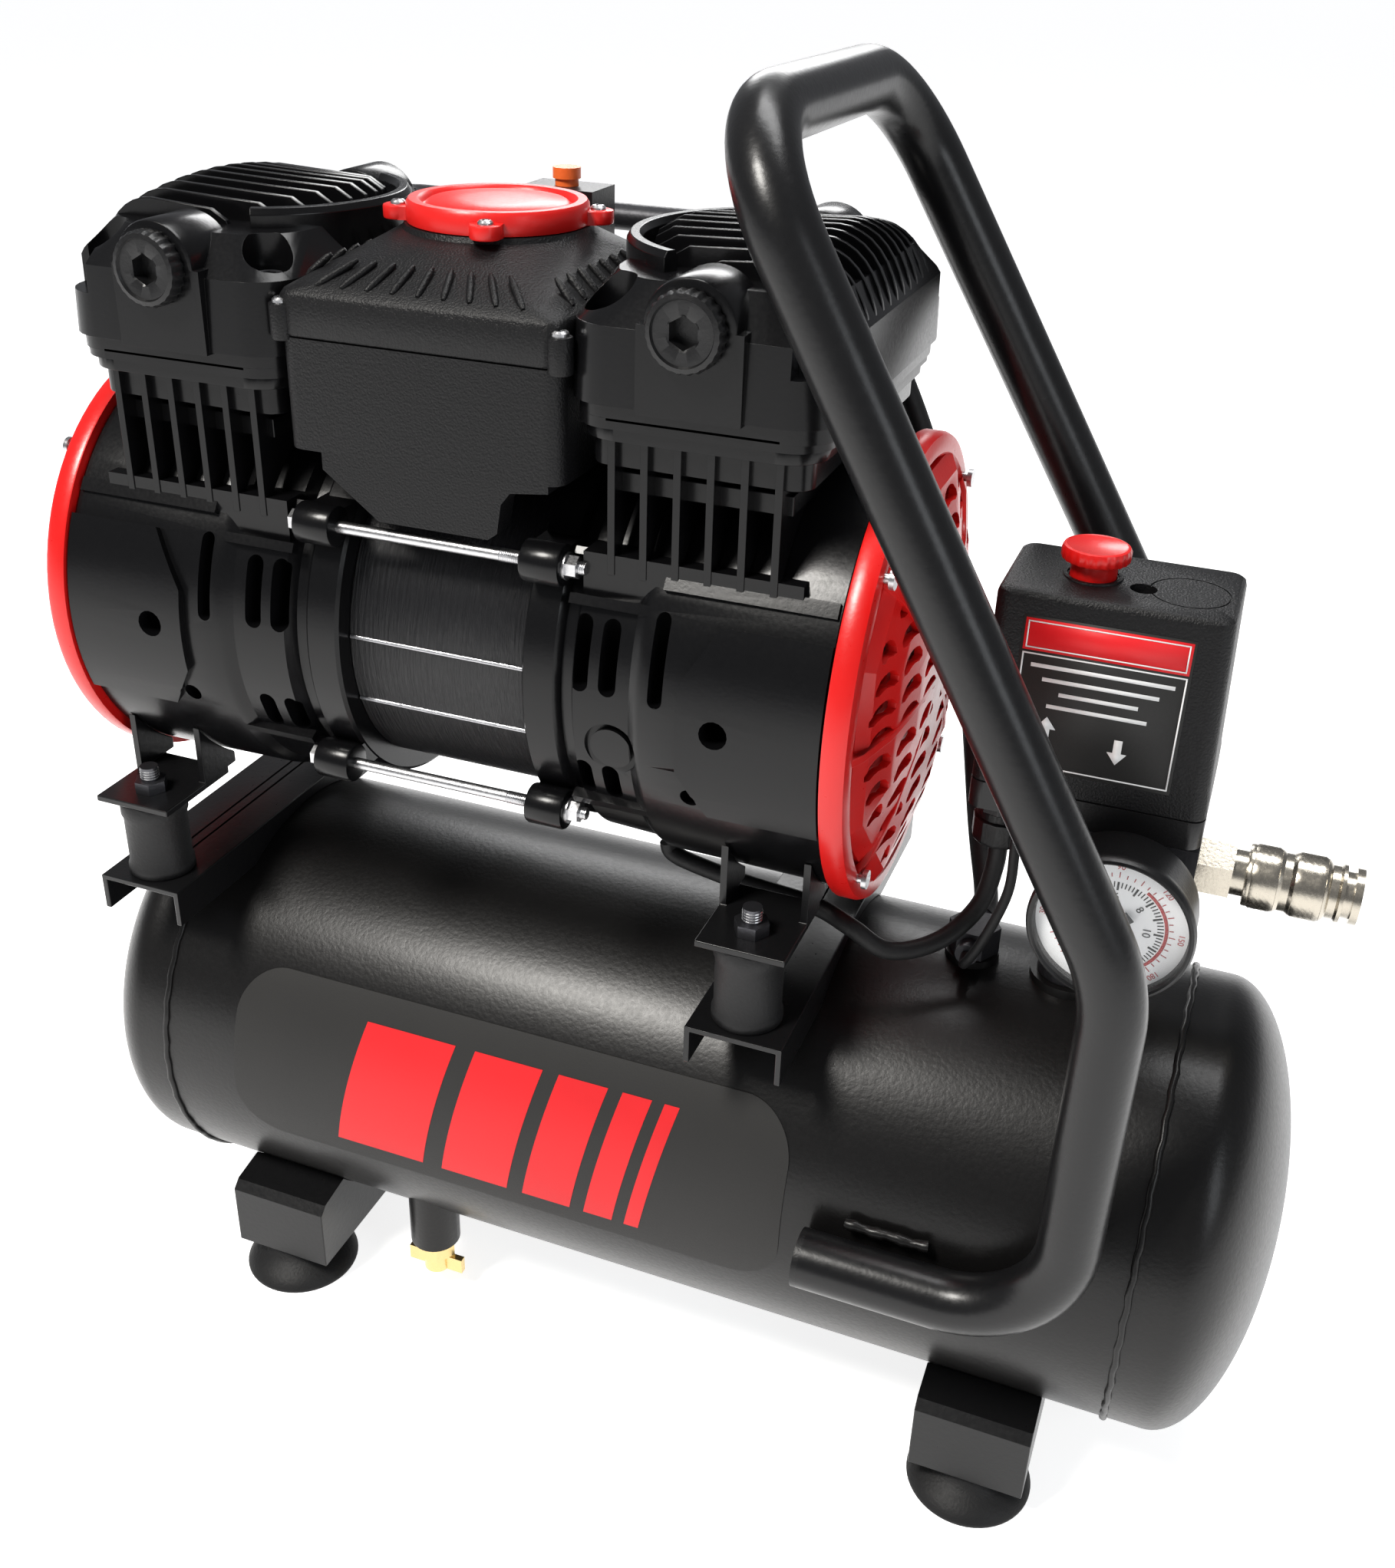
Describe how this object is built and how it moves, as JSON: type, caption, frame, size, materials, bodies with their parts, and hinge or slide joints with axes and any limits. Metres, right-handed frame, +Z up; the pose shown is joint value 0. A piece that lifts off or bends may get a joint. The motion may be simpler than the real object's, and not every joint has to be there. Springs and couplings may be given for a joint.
{
  "type": "air compressor",
  "caption": "Portable oil-free air compressor: horizontal tank on suction feet, twin-head wobble-piston pump, tubular carrying handle, pressure switch, gauge and quick coupler.",
  "frame": {"origin": "centre of the footprint at floor level, under the suction feet", "axes": "+X along the tank towards the pressure switch and coupler, -Y towards the front with the decal, +Z up"},
  "size_m": [0.576, 0.2562, 0.5915],
  "materials": {
    "tank_paint": "satin",
    "frame_paint": "satin",
    "cast_black": "satin",
    "lamination": "satin",
    "decal": "matte",
    "red_plastic": "gloss",
    "black_plastic": "matte",
    "rubber": "matte",
    "zinc": "satin",
    "steel": "satin",
    "nickel": "satin",
    "brass": "satin",
    "copper": "satin",
    "alloy_dark": "satin",
    "dial_white": "matte",
    "orange_plastic": "gloss"
  },
  "bodies": {
    "frame": {"tank_shell": "tank_paint", "tank_end_left": "tank_paint", "tank_end_right": "tank_paint", "weld_seams": "tank_paint", "tank_decal": "decal", "handle_tube": "frame_paint", "handle_end_plugs": "black_plastic", "foot_brackets": "frame_paint", "rubber_feet": "rubber", "foot_bolts": "zinc", "drain_valve_body": "brass", "pump_rails": "frame_paint", "rubber_mounts": "rubber", "mount_studs": "zinc", "pump_foot_plates": "frame_paint", "housing_left": "cast_black", "housing_right": "cast_black", "stator_core": "lamination", "stator_windings": "copper", "shaft_bearings": "steel", "cylinder_sleeves": "alloy_dark", "cylinder_left": "cast_black", "cylinder_right": "cast_black", "valve_plates": "steel", "cylinder_head_left": "cast_black", "cylinder_head_right": "cast_black", "head_bolts": "zinc", "head_port_plugs": "black_plastic", "crossover_tube": "alloy_dark", "fan_cover_left": "red_plastic", "fan_cover_right": "red_plastic", "fan_cover_screws": "zinc", "tie_rods": "zinc", "filter_box_base": "black_plastic", "filter_box_lid": "black_plastic", "filter_cap": "red_plastic", "run_capacitor": "black_plastic", "overload_protector": "black_plastic", "manifold_block": "alloy_dark", "switch_base": "black_plastic", "switch_cover": "black_plastic", "gauge_case": "black_plastic", "gauge_dial": "dial_white", "safety_valve": "brass", "coupler_body": "nickel", "check_valve": "brass", "air_hoses": "rubber", "motor_cable": "rubber"},
    "rotor": {"motor_shaft": "steel", "rotor_core": "steel", "eccentric_weights": "steel", "cooling_fans": "black_plastic"},
    "rod_left": {"connecting_rod_left": "alloy_dark"},
    "rod_right": {"connecting_rod_right": "alloy_dark"},
    "knob": {"switch_knob": "red_plastic"},
    "needle": {"gauge_needle": "black_plastic"},
    "sleeve": {"coupler_sleeve": "nickel"},
    "drain_wing": {"drain_valve_wing": "brass"},
    "reset": {"reset_button": "orange_plastic"},
    "relief_ring": {"safety_ring": "zinc"}
  },
  "joints": [
    {"name": "shaft_spin", "type": "hinge", "parent": "frame", "child": "rotor", "pos_m": [-0.083, 0, 0.359], "axis": [1, 0, 0], "continuous": true},
    {"name": "rod_left_swing", "type": "hinge", "parent": "rotor", "child": "rod_left", "pos_m": [-0.193, 0, 0.364], "axis": [1, 0, 0], "continuous": true},
    {"name": "rod_right_swing", "type": "hinge", "parent": "rotor", "child": "rod_right", "pos_m": [0.027, 0, 0.364], "axis": [1, 0, 0], "continuous": true},
    {"name": "knob_lift", "type": "slide", "parent": "frame", "child": "knob", "axis": [0, 0, 1], "range_m": [-0.006, 0]},
    {"name": "needle_turn", "type": "hinge", "parent": "frame", "child": "needle", "pos_m": [0.197, -0.06, 0.296], "axis": [0, 1, 0], "range_deg": [0, 270], "stiffness_Nm_per_rad": 0.0005},
    {"name": "coupler_sleeve_slide", "type": "slide", "parent": "frame", "child": "sleeve", "axis": [-1, 0, 0], "range_m": [0, 0.004], "stiffness_N_per_m": 800},
    {"name": "drain_wing_turn", "type": "hinge", "parent": "frame", "child": "drain_wing", "pos_m": [-0.104, -0.072, 0.016], "axis": [0, 0, 1], "range_deg": [0, 180]},
    {"name": "reset_press", "type": "slide", "parent": "frame", "child": "reset", "axis": [0, 0, -1], "range_m": [0, 0.002], "stiffness_N_per_m": 500},
    {"name": "relief_ring_pull", "type": "slide", "parent": "frame", "child": "relief_ring", "axis": [0, 1, 0], "range_m": [0, 0.003], "stiffness_N_per_m": 1000}
  ],
  "couplings": [
    {"joint": "rod_left_swing", "follows": "shaft_spin", "ratio": -1},
    {"joint": "rod_right_swing", "follows": "shaft_spin", "ratio": -1}
  ]
}
